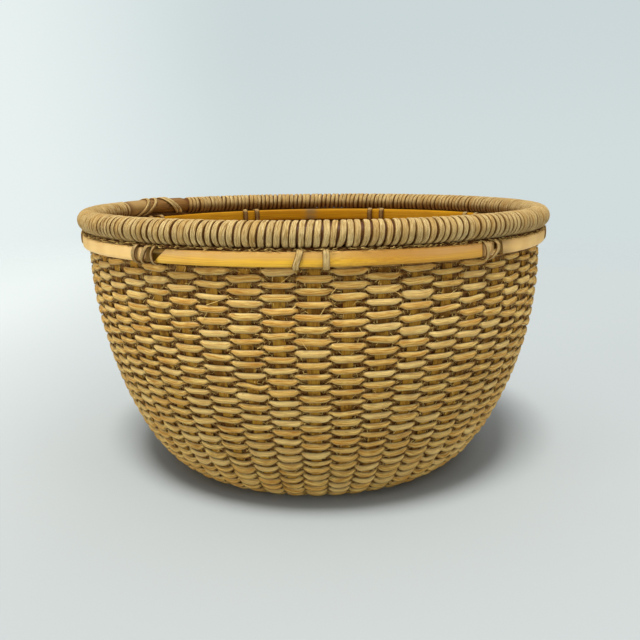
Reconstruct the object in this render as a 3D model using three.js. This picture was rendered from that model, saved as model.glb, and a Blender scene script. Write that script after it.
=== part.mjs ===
// An open round basket. Flat splints cross under the base and rise as the stakes of a bowl. Two cane
// weavers chase each other over one stake and under the next. Two bamboo hoops clamp the top edge,
// held by flat ties, and a round rod bound with cane sits on them. Its ends meet under a lashing.
// Millimetres, +Z up, the origin on the table under the middle of the base, the front facing -Y.
import * as THREE from "three";

// Clearances
const gap = 0.3; // between pieces that touch
const weaveGap = 0.4; // between a weaver and the edge of the stake that it passes
const rowGap = 0.45; // between neighbouring rows
const turnGap = 0.5; // between neighbouring turns of the binding, where they lie closest

// Bowl
const baseRadius = 86; // where the flat of the base ends
const baseCurve = 30; // reach of the round between base and wall
const wallBulge = 3; // lean of the wall, out from its top
const wallReach = 60; // height over which the top of the wall leans

// Stakes
const splintsEachWay = 13;
const splintPitch = 5.6; // from splint to splint where they cross
const splintThickness = 0.6;
const crossingMargin = 1; // from the outer splint of a layer to where those across it start to fan
const stakeShare = 0.42; // width of a stake, as a share of the pitch of the stakes
const stakeSteps = 10; // straight runs of a stake up the wall
const stakeCrowding = 1.25; // crowds these runs towards the round of the base

// Weavers
const weaverThickness = 1;
const weaverTurns = 9;
const baseTurns = 2.4; // turns in a weaver's first length, under the base and round its edge
const wallLengths = 5; // lengths of cane in the rest of a weaver
const weaveStart = 58; // radius of the first row
const taperTurns = 0.15; // a weaver is cut where its taper gets this thin, as a share of a row

// Rim
const rimRadius = 150; // outside of the bound rim, which the hoops and the wall follow
const rimOverhang = 2.5; // from the outer hoop's outside to the rim's
const rimTop = 166.5;
const rimHalfWidth = 7;
const rimHalfHeight = 6.6;
const bindingThickness = 1.1;
const bindingLengths = 6;
const turnsPerLength = 24;
const runsPerTurn = 6; // straight runs of a turn, one to each face of the rim
const gapSamples = 12; // points on each run of a turn, for measuring the gap between turns

// The bare stretch of the rim, and the lashing over it. Places round the rim are in stakes from the
// front, counted towards +X.
const bareFrom = -19.2;
const bareTo = -15.45;
const bareTaper = 0.25; // over which the rod swells
const bareMargin = 0.15; // from the last turn of the binding to there
const rodJoint = -18;
const lashingThickness = 1.3;
const lashingWidth = 2.6;
const leftLashing = { name: "rim_lashing_left", top: -17.2, foot: -16.35, apart: 0.5 };
const rightLashing = { name: "rim_lashing_right", top: -17.95, foot: -18.7, apart: 0.22 };

// Hoops
const hoopHeight = 7.3;
const outerHoopReach = 4.5; // from the outside of the weave at its top to that of the outer hoop
const innerHoopThickness = 4;
const hoopBevel = 1;
const frontHoopFrom = -4.6;
const frontHoopTo = 5.1;
const innerHoopJoint = -2.5;

// Ties. Each is two turns of flat cane: a pair with a stake between its turns, or close in one gap.
const tieThickness = 0.6;
const tieWidth = 2.8;
const tieTuck = 2.5; // how far its ends lie in over a hoop
const wideTie = 12.9; // between the turns of a tie with a stake between them
const closeTie = 4.6; // between the turns of a tie in one gap between stakes
const wideTies = [0, 17, 23, -23, -17];
const closeTies = [5.5, 11.5, -11.5, -5.5];

const cane = { color: 0xb98f4f, roughness: 0.75 };
const splint = { color: 0x9a6f34, roughness: 0.8 };
const bamboo = { color: 0xd9a040, roughness: 0.45 };
const agedCane = { color: 0xa48a62, roughness: 0.8 };
const bark = { color: 0x5c3a1c, roughness: 0.7 };

const stakeCount = 4 * splintsEachWay;
const stakeAngle = (2 * Math.PI) / stakeCount;
const outerHoopRadius = rimRadius - rimOverhang;
const wallRadius = outerHoopRadius - outerHoopReach; // outside of the weave at the top of the wall
const rimCentreRadius = rimRadius - rimHalfWidth;
const rimCentreHeight = rimTop - rimHalfHeight;
const hoopTop = rimCentreHeight - rimHalfHeight - tieThickness - 2 * gap;
const hoopBottom = hoopTop - hoopHeight;

// Depths under the outside of the weave. A weaver's straight run from one stake to the next has to
// clear the edges of both, outside the one and inside the other, and their centres.
const wallSag = wallRadius * (1 - Math.cos(stakeAngle));
const edgeShare = stakeShare / 2;
const clearOfEdges = (weaverThickness + edgeShare * wallSag + 2 * weaveGap) / (1 - stakeShare);
const stakeDepth = weaverThickness + edgeShare * (clearOfEdges + wallSag) + weaveGap;
const insideDepth = Math.max(clearOfEdges, stakeDepth + splintThickness + weaveGap);
const wallThickness = insideDepth + weaverThickness;
const middleDepth = insideDepth / 2 + weaverThickness;

// The outside of the weave, as radius and height, along the base and up the wall
const wallCurve = new THREE.CubicBezierCurve(
  new THREE.Vector2(baseRadius, 0),
  new THREE.Vector2(baseRadius + baseCurve, 0),
  new THREE.Vector2(wallRadius + wallBulge, hoopTop - wallReach),
  new THREE.Vector2(wallRadius, hoopTop),
);
const outside = new THREE.CurvePath();
outside.add(new THREE.LineCurve(new THREE.Vector2(weaveStart, 0), new THREE.Vector2(baseRadius, 0)));
outside.add(wallCurve);
const outsideLength = outside.getLength();

const basket = new THREE.Group();

function add(name, geometry, { color, roughness }) {
  const mesh = new THREE.Mesh(geometry, new THREE.MeshStandardMaterial({ color, roughness, metalness: 0 }));
  mesh.name = name;
  basket.add(mesh);
}

function signedVolume(points, faces) {
  let sum = 0;
  for (let i = 0; i < faces.length; i += 3) {
    const [a, b, c] = [points[faces[i]], points[faces[i + 1]], points[faces[i + 2]]];
    sum += a.dot(b.clone().cross(c));
  }
  return sum / 6;
}

// Joins rings of points, all with the same count, into one closed body with flat ends.
function skin(rings) {
  const size = rings[0].length;
  const points = rings.flat();
  const faces = [];
  for (let i = 0; i + 1 < rings.length; i++) {
    for (let j = 0; j < size; j++) {
      const near = i * size + j;
      const beside = i * size + ((j + 1) % size);
      faces.push(near, beside, beside + size, near, beside + size, near + size);
    }
  }
  const end = (rings.length - 1) * size;
  for (let j = 1; j + 1 < size; j++) {
    faces.push(0, j + 1, j, end, end + j, end + j + 1);
  }
  if (signedVolume(points, faces) < 0) {
    faces.reverse();
  }
  const geometry = new THREE.BufferGeometry().setFromPoints(points);
  geometry.setIndex(faces);
  return geometry;
}

function between(ringA, ringB, share) {
  return ringA.map((point, i) => point.clone().lerp(ringB[i], share));
}

// Cuts a strand's first and last run shorter, each by an amount.
function cutBack(rings, startCut, endCut) {
  const last = rings.length - 1;
  const start = between(rings[0], rings[1], startCut / rings[0][0].distanceTo(rings[1][0]));
  const end = between(rings[last], rings[last - 1], endCut / rings[last][0].distanceTo(rings[last - 1][0]));
  return [start, ...rings.slice(1, last), end];
}

// The way out from the middle at a place round the basket, which is counted in stakes
function wayOut(place) {
  const angle = place * stakeAngle - Math.PI / 2;
  return new THREE.Vector3(Math.cos(angle), Math.sin(angle), 0);
}

function wayRound(place) {
  return wayOut(place + stakeCount / 4);
}

// A point at a place round the basket. Between two stakes the rings run straight.
function around(place, radius, height) {
  const stake = Math.floor(place + 1e-9);
  const out = wayOut(stake).lerp(wayOut(stake + 1), place - stake);
  return out.multiplyScalar(radius).setZ(height);
}

// The whole places strictly between two places, with both of these at the ends
function placesBetween(from, to) {
  const places = [from];
  for (let stake = Math.floor(from) + 1; stake < to - 1e-6; stake++) {
    places.push(stake);
  }
  places.push(to);
  return places;
}

// The outside line and the way out of it, at a distance along it
function outsideAt(distance) {
  const share = THREE.MathUtils.clamp(distance / outsideLength, 0, 1);
  const point = outside.getPoint(share);
  const along = outside.getTangent(share);
  const out = new THREE.Vector2(along.y, -along.x);
  return { point, along, out };
}

// Half the height of a strand on a cell's inner side, up to the line square to the cell's end
function reach({ point, along, out }, end) {
  const flat = point.clone().addScaledVector(out, -middleDepth);
  return Math.abs(end.point.clone().sub(flat).dot(end.along) / along.dot(end.along)) - rowGap / 2;
}

// The three corners of a weaver at one stake: a ridge outside and a flat back, in the cell of its row
function weaverRing(stake, cellFrom, cellTo, depth) {
  const middle = outsideAt((cellFrom + cellTo) / 2);
  const below = reach(middle, outsideAt(cellFrom));
  const above = reach(middle, outsideAt(cellTo));
  const ridge = middle.point.clone().addScaledVector(middle.out, -depth);
  const back = ridge.clone().addScaledVector(middle.out, -weaverThickness);
  const low = back.clone().addScaledVector(middle.along, -below);
  const high = back.clone().addScaledVector(middle.along, above);
  return [ridge, low, high].map(({ x, y }) => wayOut(stake).multiplyScalar(x).setZ(y));
}

// The two weavers climb together. The first turn lies along the first row and swells from nothing,
// and the last one thins out along the top, so that the weave ends level.
const weaveTop = outsideLength - hoopHeight - tieThickness - 2 * gap;
const rowPitch = weaveTop / (2 * (weaverTurns - 1));

function weaverCell(weaver, turn) {
  const height = rowPitch * Math.min(1, turn, weaverTurns - turn);
  const from = 2 * rowPitch * Math.max(0, turn - 1) + weaver * height;
  return [from, from + height];
}

function addWeaver(weaver) {
  const first = Math.ceil(taperTurns * stakeCount);
  const last = weaverTurns * stakeCount - first;
  const rings = [];
  for (let stake = first; stake <= last; stake++) {
    const [from, to] = weaverCell(weaver, stake / stakeCount);
    rings.push(weaverRing(stake, from, to, (stake + weaver) % 2 ? insideDepth : 0));
  }
  // Two lengths meet behind a stake, inside the basket.
  const wallTurns = (last / stakeCount - baseTurns) / wallLengths;
  const joint = (length) => {
    const near = Math.round((baseTurns + (length - 1) * wallTurns) * stakeCount) - first;
    return near + ((first + near + weaver + 1) % 2);
  };
  for (let length = 0; length <= wallLengths; length++) {
    const from = length ? joint(length) : 0;
    const to = length < wallLengths ? joint(length + 1) : last - first;
    const cut = cutBack(rings.slice(from, to + 1), gap / 2, gap / 2);
    add(`weaver_${weaver ? "b" : "a"}_${length + 1}`, skin(cut), cane);
  }
}
addWeaver(0);
addWeaver(1);

// One row of weaving stays above the ties, clamped between the hoops.
function addTopRow() {
  const from = outsideLength - hoopHeight;
  const rings = [];
  for (let stake = 0; stake <= stakeCount; stake++) {
    rings.push(weaverRing(stake, from, outsideLength, stake % 2 ? 0 : insideDepth));
  }
  add("top_row", skin(cutBack(rings, gap / 2, gap / 2)), cane);
}
addTopRow();

// Splints. The lower layer runs along X, flat on the table where it crosses the upper layer.
const crossingHalf = (splintPitch * (splintsEachWay - 1)) / 2;
const startWidth = (stakeShare * 2 * Math.PI * weaveStart) / stakeCount;
const crossingEdge = crossingHalf + startWidth / 2 + crossingMargin;

// The three corners of a splint: a flat outer face and a ridge inside
function splintRing(point, across, inwards, width) {
  const half = across.clone().multiplyScalar(width / 2);
  const ridge = point.clone().addScaledVector(inwards, splintThickness);
  return [point.clone().sub(half), point.clone().add(half), ridge];
}

function stakeRing(stake, { point, out }) {
  const line = point.clone().addScaledVector(out, -stakeDepth);
  const inwards = wayOut(stake).multiplyScalar(-out.x).setZ(-out.y);
  const width = (stakeShare * 2 * Math.PI * point.x) / stakeCount;
  return splintRing(wayOut(stake).multiplyScalar(line.x).setZ(line.y), wayRound(stake), inwards, width);
}

// The rings of one end of a splint, from the top of the wall down to the first row
function stakeRings(stake) {
  const rings = [];
  for (let step = stakeSteps; step >= 0; step--) {
    const share = (step / stakeSteps) ** stakeCrowding;
    const along = wallCurve.getTangent(share);
    const out = new THREE.Vector2(along.y, -along.x);
    rings.push(stakeRing(stake, { point: wallCurve.getPoint(share), out }));
  }
  rings.push(stakeRing(stake, outsideAt(0)));
  return rings;
}

// A splint's two ends rise at the stakes before and after its side's middle stake.
function addSplint(name, middleStake, offset, layerHeight) {
  const ahead = wayOut(middleStake);
  const across = wayRound(middleStake);
  const up = new THREE.Vector3(0, 0, 1);
  const crossing = [1, -1].map((side) => {
    const point = across.clone().multiplyScalar(offset * splintPitch);
    point.addScaledVector(ahead, side * crossingEdge).setZ(layerHeight);
    return splintRing(point, across, up, startWidth);
  });
  const farStake = middleStake + stakeCount / 2 - offset;
  const far = stakeRings(farStake).map(([left, right, ridge]) => [right, left, ridge]);
  add(name, skin([...stakeRings(middleStake + offset), ...crossing, ...far.reverse()]), splint);
}

for (let i = 0; i < splintsEachWay; i++) {
  const offset = i - (splintsEachWay - 1) / 2;
  const number = String(i + 1).padStart(2, "0");
  addSplint(`splint_lower_${number}`, splintsEachWay, offset, 0);
  addSplint(`splint_upper_${number}`, 2 * splintsEachWay, offset, splintThickness + gap);
}

// Bamboo hoops, flat against the weave and bevelled on the side away from it
function addHoop(name, from, to, flatRadius, roundRadius) {
  const bevel = Math.sign(roundRadius - flatRadius) * hoopBevel;
  const section = [
    [flatRadius, hoopBottom],
    [roundRadius - bevel, hoopBottom],
    [roundRadius, hoopBottom + hoopBevel],
    [roundRadius, hoopTop - hoopBevel],
    [roundRadius - bevel, hoopTop],
    [flatRadius, hoopTop],
  ];
  const ring = (place) => section.map(([radius, height]) => around(place, radius, height));
  add(name, skin(placesBetween(from, to).map(ring)), bamboo);
}

const hoopGap = gap / (wallRadius * stakeAngle);
const wallLean = (wallBulge / wallReach) * hoopHeight;
const outerHoopFlat = wallRadius + wallLean + gap;
const innerHoopFlat = wallRadius - wallThickness - gap;
const innerHoopRadius = innerHoopFlat - innerHoopThickness;
addHoop("outer_hoop_front", frontHoopFrom, frontHoopTo, outerHoopFlat, outerHoopRadius);
const rearHoopTo = frontHoopFrom + stakeCount - hoopGap;
addHoop("outer_hoop_rear", frontHoopTo + hoopGap, rearHoopTo, outerHoopFlat, outerHoopRadius);
const innerHoopTo = innerHoopJoint + stakeCount - hoopGap;
addHoop("inner_hoop", innerHoopJoint, innerHoopTo, innerHoopFlat, innerHoopRadius);

// The rim's six-sided outline, flat above and below. The bare rod is as high as the binding is
// beside it, and leaves room below for its lashing.
const outline = { halfWidth: rimHalfWidth, halfHeight: rimHalfHeight, lift: 0 };
const lashingRoom = (lashingThickness + gap) / 2;
const bareOutline = { ...outline, halfHeight: rimHalfHeight - lashingRoom, lift: lashingRoom };

function inset({ halfWidth, halfHeight, lift }, amount) {
  const slope = Math.hypot(halfWidth / 2, halfHeight) / halfHeight;
  return { halfWidth: halfWidth - amount * slope, halfHeight: halfHeight - amount, lift };
}

// A corner of an outline, as radius and height, counted from the outer one over the top
function outlineCorner({ halfWidth, halfHeight, lift }, corner) {
  const angle = (corner * 2 * Math.PI) / runsPerTurn;
  const rise = corner % 3 ? Math.sign(Math.sin(angle)) : 0;
  return [rimCentreRadius + halfWidth * Math.cos(angle), rimCentreHeight + lift + halfHeight * rise];
}

const bindingBack = inset(outline, bindingThickness);
const boundOutline = inset(bindingBack, gap);

// The rod of the rim is full where it is bare and thinner under its binding.
function addRod() {
  const section = (place, shape) =>
    [0, 1, 2, 3, 4, 5].map((corner) => around(place, ...outlineCorner(shape, corner)));
  const rings = placesBetween(rodJoint, bareTo - bareTaper).map((place) => section(place, bareOutline));
  const bound = placesBetween(bareTo, bareFrom + stakeCount);
  rings.push(...bound.map((place) => section(place, boundOutline)));
  const end = placesBetween(bareFrom + bareTaper, rodJoint - hoopGap).map((place) => place + stakeCount);
  rings.push(...end.map((place) => section(place, bareOutline)));
  add("rim_rod", skin(rings), bark);
}
addRod();

// The binding is wound in lengths. A turn has six straight runs, and a length is cut half way
// along a run under the rim, square to the length that it meets.
const bindingFrom = bareTo + bareMargin;
const bindingTo = bareFrom - bareMargin + stakeCount;
const bindingCorners = runsPerTurn * turnsPerLength;
const placesPerCorner = (bindingTo - bindingFrom) / (bindingLengths * bindingCorners + 1);
const innerTurnPitch = runsPerTurn * placesPerCorner * stakeAngle * (rimCentreRadius - bindingBack.halfWidth);
const bindingWidth = innerTurnPitch - turnGap;
const firstCorner = 4; // a turn starts under the rim, at the inner end of the flat there

function bindingRing(corner) {
  const place = bindingFrom + corner * placesPerCorner;
  const ridge = around(place, ...outlineCorner(outline, corner + firstCorner));
  const back = around(place, ...outlineCorner(bindingBack, corner + firstCorner));
  const half = wayRound(place).multiplyScalar(bindingWidth / 2);
  return [ridge, back.clone().sub(half), back.clone().add(half)];
}

// The least distance between one turn and the next, on points along the edges of the strand
function leastTurnGap(rings) {
  const points = [];
  for (let i = 0; i + 1 < rings.length; i++) {
    for (let sample = 0; sample < gapSamples; sample++) {
      points.push(between(rings[i], rings[i + 1], sample / gapSamples));
    }
  }
  const turn = runsPerTurn * gapSamples;
  let least = Infinity;
  for (let i = 0; i + turn < points.length; i++) {
    for (let j = i + turn - gapSamples; j < Math.min(i + turn + gapSamples, points.length); j++) {
      for (const here of points[i]) {
        for (const there of points[j]) {
          least = Math.min(least, here.distanceTo(there));
        }
      }
    }
  }
  return least;
}

let leastGap = Infinity;
const jointCut = (rimHalfWidth + gap) / 2;
for (let length = 0; length < bindingLengths; length++) {
  const start = length * bindingCorners;
  const rings = [];
  for (let corner = start; corner <= start + bindingCorners + 1; corner++) {
    rings.push(bindingRing(corner));
  }
  const cut = cutBack(rings, jointCut, jointCut);
  leastGap = Math.min(leastGap, leastTurnGap(cut));
  add(`rim_binding_${length + 1}`, skin(cut), agedCane);
}
console.log(`least gap of a binding length to itself: ${leastGap.toFixed(2)} mm`);

// A flat strand along a closed path of corners, taken more than once round. Each corner is a place
// round the basket, a radius, a height and the way away from what the strand holds.
function strand(corners, width, thickness) {
  const rings = corners.map(({ place, radius, height, away }) => {
    const half = wayRound(place).multiplyScalar(width / 2);
    const back = around(place, radius, height);
    const face = around(place, radius + away[0] * thickness, height + away[1] * thickness);
    return [back.clone().sub(half), back.clone().add(half), face.clone().add(half), face.clone().sub(half)];
  });
  return skin(rings);
}

// A tie goes down outside both hoops, through the weave under them and up inside, twice. It crosses
// from one turn to the other over the hoops, under the rim, where both of its ends are tucked too.
function addTie(number, middle, apart) {
  const half = apart / 2 / (wallRadius * stakeAngle);
  const outsideTop = { radius: outerHoopRadius + gap, height: hoopTop + gap, away: [1, 1] };
  const outsideFoot = { radius: outerHoopRadius + gap, height: hoopBottom - gap, away: [1, -1] };
  const insideFoot = { radius: innerHoopRadius - gap, height: hoopBottom - gap, away: [-1, -1] };
  const insideTop = { radius: innerHoopRadius - gap, height: hoopTop + gap, away: [-1, 1] };
  const loop = [outsideTop, outsideFoot, insideFoot, insideTop];
  const tuckOutside = { radius: outerHoopRadius - tieTuck, height: hoopTop + gap, away: [0, 1] };
  const tuckInside = { radius: innerHoopRadius + tieTuck, height: hoopTop + gap, away: [0, 1] };
  const before = [tuckOutside, ...loop].map((corner) => ({ ...corner, place: middle - half }));
  const after = [...loop, tuckInside].map((corner) => ({ ...corner, place: middle + half }));
  add(`hoop_tie_${number}`, strand([...before, ...after], tieWidth, tieThickness), agedCane);
}
wideTies.forEach((middle, i) => addTie(i + 1, middle, wideTie));
closeTies.forEach((middle, i) => addTie(wideTies.length + i + 1, middle, closeTie));

// A lashing is two slanted turns round the bare rod, narrow together at the top.
function addLashing({ name, top, foot, apart }) {
  const shape = inset(bareOutline, -gap);
  const outer = inset(shape, -lashingThickness);
  const corners = [];
  for (let corner = 0; corner < 2 * runsPerTurn; corner++) {
    const [radius, height] = outlineCorner(shape, corner + firstCorner);
    const [outerRadius, outerHeight] = outlineCorner(outer, corner + firstCorner);
    const away = [outerRadius - radius, outerHeight - height].map((step) => step / lashingThickness);
    const rise = (height - rimCentreHeight - shape.lift) / shape.halfHeight / 2 + 0.5;
    const turn = Math.floor(corner / runsPerTurn) * Math.sign(foot - top);
    corners.push({ place: foot + (top - foot) * rise + turn * apart, radius, height, away });
  }
  add(name, strand(corners, lashingWidth, lashingThickness), agedCane);
}
addLashing(leftLashing);
addLashing(rightLashing);

export default basket;
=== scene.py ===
"""An open round basket of stakes, woven cane, bamboo hoops and a bound rim, dressed around its
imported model. Laid out as an add-on: sizes and colours are properties, and each group of pieces
has an operator."""

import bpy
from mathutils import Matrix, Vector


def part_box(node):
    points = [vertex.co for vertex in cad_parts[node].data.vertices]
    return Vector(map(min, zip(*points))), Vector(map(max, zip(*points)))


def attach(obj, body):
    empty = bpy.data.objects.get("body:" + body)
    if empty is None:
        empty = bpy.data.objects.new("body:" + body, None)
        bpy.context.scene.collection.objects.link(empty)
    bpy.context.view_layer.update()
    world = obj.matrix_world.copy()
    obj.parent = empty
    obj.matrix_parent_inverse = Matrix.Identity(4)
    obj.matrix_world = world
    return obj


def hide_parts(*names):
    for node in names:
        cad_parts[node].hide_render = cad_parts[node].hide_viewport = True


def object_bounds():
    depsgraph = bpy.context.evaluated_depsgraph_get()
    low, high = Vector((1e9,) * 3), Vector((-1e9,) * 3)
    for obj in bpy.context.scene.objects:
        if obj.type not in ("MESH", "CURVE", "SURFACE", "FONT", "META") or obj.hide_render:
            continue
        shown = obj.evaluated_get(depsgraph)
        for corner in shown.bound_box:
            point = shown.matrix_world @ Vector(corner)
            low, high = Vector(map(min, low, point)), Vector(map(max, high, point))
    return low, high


bl_info = {
    "name": "Round Woven Basket",
    "version": (1, 0, 0),
    "blender": (4, 5, 0),
    "location": "View3D > Sidebar > Basket",
    "description": "Weaves a round basket's stakes, cane, hoops and bound rim around its frame",
    "category": "Add Mesh",
}

import bisect
import math
import random
from dataclasses import dataclass

import bmesh
import bpy
from bpy.props import FloatProperty, FloatVectorProperty, IntProperty, PointerProperty
from mathutils import Matrix, Vector, noise

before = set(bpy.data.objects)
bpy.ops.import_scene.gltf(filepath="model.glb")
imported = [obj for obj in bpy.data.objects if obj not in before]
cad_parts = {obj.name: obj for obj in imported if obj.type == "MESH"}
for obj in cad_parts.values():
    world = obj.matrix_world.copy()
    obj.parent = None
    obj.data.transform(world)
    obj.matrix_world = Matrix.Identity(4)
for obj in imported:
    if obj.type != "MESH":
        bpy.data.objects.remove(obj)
CAD_LOW, CAD_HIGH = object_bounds()

UP = Vector((0, 0, 1))
STAKES = 52
SPLINTS_EACH_WAY = STAKES // 4
STAKE_ANGLE = 2 * math.pi / STAKES
BINDING_LENGTHS = 6
HOOP_LOW, HOOP_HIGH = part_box("outer_hoop_rear")
TOP_ROW_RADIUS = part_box("top_row")[1].x
INNER_HOOP_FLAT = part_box("inner_hoop")[1].x
BINDING_BOXES = [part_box(f"rim_binding_{n + 1}") for n in range(BINDING_LENGTHS)]
RIM_TOP = max(high.z for _, high in BINDING_BOXES)
RIM_BOTTOM = min(low.z for low, _ in BINDING_BOXES)
RIM_RADIUS = min(CAD_HIGH.x, -CAD_LOW.x, CAD_HIGH.y, -CAD_LOW.y)
INNER_HOOP_RISE = 0.0015  # it stands up beside the rim

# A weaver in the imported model: its turns, the turn at which its first length ends, how far it
# stops short of a whole turn at either end, and how many lengths the rest of the wall has.
CAD_TURNS = 9
CAD_BASE_TURNS = 2.4
CAD_END_GAP = 0.15
CAD_WALL_LENGTHS = 5

# The photograph's frame, in pixels: its width, the camera's focal length and how far the middle of
# the view lies beside the middle of the frame.
FRAME_WIDTH = 640
FOCAL_LENGTH = 692
FRAME_SHIFT = 5.5
SENSOR_WIDTH = 36  # mm


def colour(red, green, blue):
    """The linear colour of three sRGB levels from 0 to 255."""
    shares = [level / 255 for level in (red, green, blue)]
    return [
        share / 12.92 if share <= 0.04045 else ((share + 0.055) / 1.055) ** 2.4
        for share in shares
    ]


def size(name, description, default):
    """A property for a length in metres."""
    return FloatProperty(name=name, description=description, default=default, unit="LENGTH")


def tint(name, description, *levels):
    """A property for a colour, whose default is three sRGB levels."""
    return FloatVectorProperty(
        name=name, description=description, default=colour(*levels), subtype="COLOR", min=0, max=1
    )


class BasketWeaveSettings(bpy.types.PropertyGroup):
    base_radius: size("Base Radius", "Where the flat base ends", 0.086)
    base_curve: size("Base Curve", "How far the base's round reaches out", 0.030)
    wall_radius: size("Wall Radius", "Outside of the weave at the hoops", 0.143)
    wall_bulge: size("Wall Bulge", "How far the wall leans in towards the top", 0.0058)
    wall_reach: size("Wall Reach", "How far down that lean goes", 0.060)
    lopsided: size("Lopsided", "How much further the right side bulges than the left", 0.0022)
    weave_start: size("Weave Start", "Radius of the first row", 0.058)
    middle_depth: size("Middle Depth", "From the outside of the wall to its stakes", 0.0018)
    swing: size("Swing", "How far a cane's middle goes out and in from the stakes", 0.00128)
    weaver_turns: IntProperty(
        name="Weaver Turns", description="Turns of each of the two weavers", default=31, min=4
    )
    cane_width: size("Cane Width", "Mean height of a cane where it passes over a stake", 0.0036)
    cane_thickness: size("Cane Thickness", "Thickness of the weavers", 0.0016)
    splint_pitch: size("Splint Pitch", "From splint to splint where they cross", 0.0056)
    splint_thickness: size("Splint Thickness", "Thickness of a stake", 0.00072)
    stake_share: FloatProperty(
        name="Stake Share", description="Width of a stake as a share of their pitch", default=0.37
    )
    cane_light: tint("Cane", "Split cane where it is clean", 255, 222, 132)
    cane_dark: tint("Cane Streaks", "Darker streaks along the cane", 186, 118, 14)
    # Painted shade down in the weave, where canes dive between the stakes and along the stakes'
    # edges. The same brown is also the loose fibres' and the stakes' grime's own colour.
    brown_and_recess_shade: tint("Recess", "Brown of the cane down in the weave", 86, 44, 0)
    stake: tint("Stakes", "Raw splint", 255, 208, 78)
    stake_dark: tint("Stake Streaks", "Darker streaks along a stake", 214, 140, 28)
    fibre: tint("Fibres", "Loose fibres between the strands", 238, 204, 122)


class BasketHoopSettings(bpy.types.PropertyGroup):
    inner_thickness: size("Inner Hoop Thickness", "From face to face", 0.004)
    tie_width: size("Tie Width", "Width of the cane of the ties", 0.0037)
    tie_thickness: size("Tie Thickness", "Thickness of the cane of the ties", 0.0012)
    wide_tie: size("Wide Tie", "Between turns that have a stake between them", 0.0129)
    close_tie: size("Close Tie", "Between turns in one gap between stakes", 0.0074)
    bamboo: tint("Bamboo", "Smooth skin of the hoops", 252, 200, 44)
    bamboo_dark: tint("Bamboo Streaks", "Darker grain of the hoops", 194, 126, 20)
    bamboo_pale: tint("Bamboo Stain", "Pale pinkish zone along the upper edge", 214, 166, 96)
    # Partly the inner hoop's own deeper amber, partly painted shade for its place in the basket's
    # shaded inside.
    shaded_inner_bamboo: tint("Inner Bamboo", "Deep amber of the inner hoop", 200, 140, 2)
    bamboo_node: tint("Bamboo Node", "Grey-brown ring where a leaf grew", 138, 108, 64)


class BasketRimSettings(bpy.types.PropertyGroup):
    binding_turns: IntProperty(
        name="Binding Turns", description="Turns of the binding round the rim", default=228, min=12
    )
    binding_thickness: size("Binding Thickness", "Thickness of the binding cane", 0.0015)
    lashing_width: size("Lashing Width", "Width of the cane over the bare stretch", 0.0037)
    lashing_thickness: size("Lashing Thickness", "Its thickness", 0.0013)
    aged: tint("Aged Cane", "Grey-tan cane of the binding", 198, 163, 94)
    # Painted highlight along the ridges of the binding, ties and lashings.
    aged_pale: tint("Worn Ridges", "Where the binding is worn pale", 250, 226, 166)
    aged_dark: tint("Aged Streaks", "Darker fibres of the binding", 130, 92, 30)
    # Painted shade between the binding's turns, on the strands' edges, on the ties and packing, and
    # on the rod where it is bound.
    groove_shade: tint("Grooves", "Brown dirt between the turns", 84, 40, 2)
    bark: tint("Bark", "Smooth bark of the bare rod", 142, 104, 52)
    bark_dark: tint("Bark Streaks", "Darker bark", 84, 52, 14)


class BasketStageSettings(bpy.types.PropertyGroup):
    camera_distance: size("Camera Distance", "From the axis to the camera", 0.4664)
    camera_height: size("Camera Height", "From the floor to the camera", 0.192)
    camera_pitch: FloatProperty(
        name="Camera Pitch", description="Angle below the level", default=math.radians(12.76),
        subtype="ANGLE",
    )
    camera_roll: FloatProperty(
        name="Camera Roll", description="How far the camera is held askew",
        default=math.radians(-0.6), subtype="ANGLE",
    )
    floor: tint("Floor", "Pale surface under the basket", 178, 185, 187)
    # Painted light: the floor is paler towards its left.
    floor_left_lit: tint("Floor Left", "The floor's brighter left side", 204, 211, 211)
    backdrop: tint("Backdrop", "Pale surface behind the basket", 209, 220, 221)
    # Painted light on the backdrop: brighter to the left, with painted shade towards its top.
    backdrop_left_lit: tint("Backdrop Left", "The backdrop's brighter left side", 232, 241, 240)
    backdrop_top_shaded: tint("Backdrop Top", "The backdrop's upper edge", 203, 215, 216)


# Strips of cane


@dataclass(slots=True)
class Station:
    """One place along a strip: its middle, the ways across it and out of it, and its size there.
    A skirt is a wider back than front, wings are wider edges between the two, and under is painted
    shade on the lower edge."""

    middle: Vector
    across: Vector
    out: Vector
    width: float
    thickness: float
    along: float
    tone: float = 0.5
    shade_out: float = 0.0
    shade_in: float = 0.0
    skew: Vector = None
    skirt: float = 0.0
    wing: float = 0.0
    under: float = 0.0

    def width_at(self, face):
        """The width at a height through the strip, from -1 at its back to 1 at its front."""
        if face == -1:
            return max(self.width, self.skirt)
        return max(self.width, self.wing) if 0 < face < 0.5 else self.width


CANE_SECTION = ((-0.7, -1), (0.7, -1), (1, -0.4), (0.88, 0.42), (0.54, 0.86), (0, 1),
                (-0.54, 0.86), (-0.88, 0.42), (-1, -0.4))
CORD_SECTION = ((-0.55, -1), (0.55, -1), (0.98, -0.5), (0.92, 0.3), (0.56, 0.86), (0.1, 0.94),
                (-0.42, 1), (-0.9, 0.35), (-0.98, -0.5))
SPLINT_SECTION = ((-0.96, -1), (0.96, -1), (1, 0), (0.96, 1), (-0.96, 1), (-1, 0))
HOOP_SECTION = ((-0.93, -1), (0.93, -1), (1, -0.8), (1, 0.5), (0.95, 0.75), (0.84, 0.9),
                (0.5, 0.97), (0, 1), (-0.5, 0.97), (-0.84, 0.9), (-0.95, 0.75), (-1, 0.5),
                (-1, -0.8))
ROD_SECTION = tuple(
    (math.sin(2 * math.pi * step / 20), math.cos(2 * math.pi * step / 20)) for step in range(20)
)
ATTRIBUTES = ("along", "across", "edge", "tone", "shade")
SHARP_ANGLE = math.radians(50)


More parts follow.
